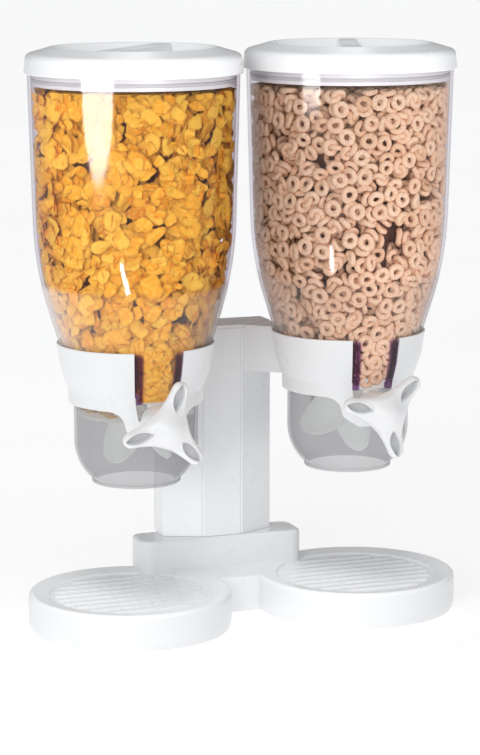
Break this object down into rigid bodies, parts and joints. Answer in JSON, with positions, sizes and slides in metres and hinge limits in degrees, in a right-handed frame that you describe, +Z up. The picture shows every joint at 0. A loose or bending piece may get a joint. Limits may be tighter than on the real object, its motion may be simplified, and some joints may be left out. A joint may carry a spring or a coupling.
{
  "type": "dry food dispenser",
  "caption": "Twin countertop dry food dispenser: clear tapered canisters with lift-off lids on a white stand, knob-turned paddle wheels and dished trays.",
  "frame": {"origin": "on the table, at the centre of the footprint", "axes": "+X to the right seen from the front, -Y to the front where the knobs are, +Z up"},
  "size_m": [0.3468, 0.1738, 0.4482],
  "materials": {
    "white_shell": "satin gloss",
    "clear_canister": "clear polished",
    "smoke_chute": "smoke clear polished",
    "soft_paddle": "matt translucent white",
    "lid_seal": "matt translucent white",
    "knob": "satin gloss",
    "shaft": "moulded",
    "bush": "moulded",
    "under_cover": "fine texture",
    "feet": "matt",
    "screws": "zinc plated"
  },
  "bodies": {
    "stand": {"left_collar": "white_shell", "left_chute": "smoke_chute", "left_front_bush": "bush", "left_rear_bush": "bush", "left_arm_screws": "screws", "right_collar": "white_shell", "right_chute": "smoke_chute", "right_front_bush": "bush", "right_rear_bush": "bush", "right_arm_screws": "screws", "base": "white_shell", "base_cover": "under_cover", "base_screws": "screws", "non_slip_feet": "feet", "column": "white_shell", "column_back": "white_shell", "column_cap": "white_shell", "column_screws": "screws"},
    "left_hopper": {"left_canister": "clear_canister"},
    "left_cap": {"left_lid": "white_shell", "left_lid_seal": "lid_seal"},
    "left_wheel": {"left_paddle_wheel": "soft_paddle", "left_drive_shaft": "shaft", "left_knob": "knob"},
    "right_hopper": {"right_canister": "clear_canister"},
    "right_cap": {"right_lid": "white_shell", "right_lid_seal": "lid_seal"},
    "right_wheel": {"right_paddle_wheel": "soft_paddle", "right_drive_shaft": "shaft", "right_knob": "knob"}
  },
  "joints": [
    {"name": "left_knob_turn", "type": "hinge", "parent": "stand", "child": "left_wheel", "pos_m": [-0.088, 0.0039, 0.17], "axis": [0, -1, 0], "continuous": true},
    {"name": "left_canister_lift", "type": "slide", "parent": "stand", "child": "left_hopper", "axis": [0, 0, 1], "range_m": [0, 0.08]},
    {"name": "left_lid_lift", "type": "slide", "parent": "left_hopper", "child": "left_cap", "axis": [0, 0, 1], "range_m": [0, 0.04]},
    {"name": "right_knob_turn", "type": "hinge", "parent": "stand", "child": "right_wheel", "pos_m": [0.088, 0.0039, 0.17], "axis": [0, -1, 0], "continuous": true},
    {"name": "right_canister_lift", "type": "slide", "parent": "stand", "child": "right_hopper", "axis": [0, 0, 1], "range_m": [0, 0.08]},
    {"name": "right_lid_lift", "type": "slide", "parent": "right_hopper", "child": "right_cap", "axis": [0, 0, 1], "range_m": [0, 0.04]}
  ]
}
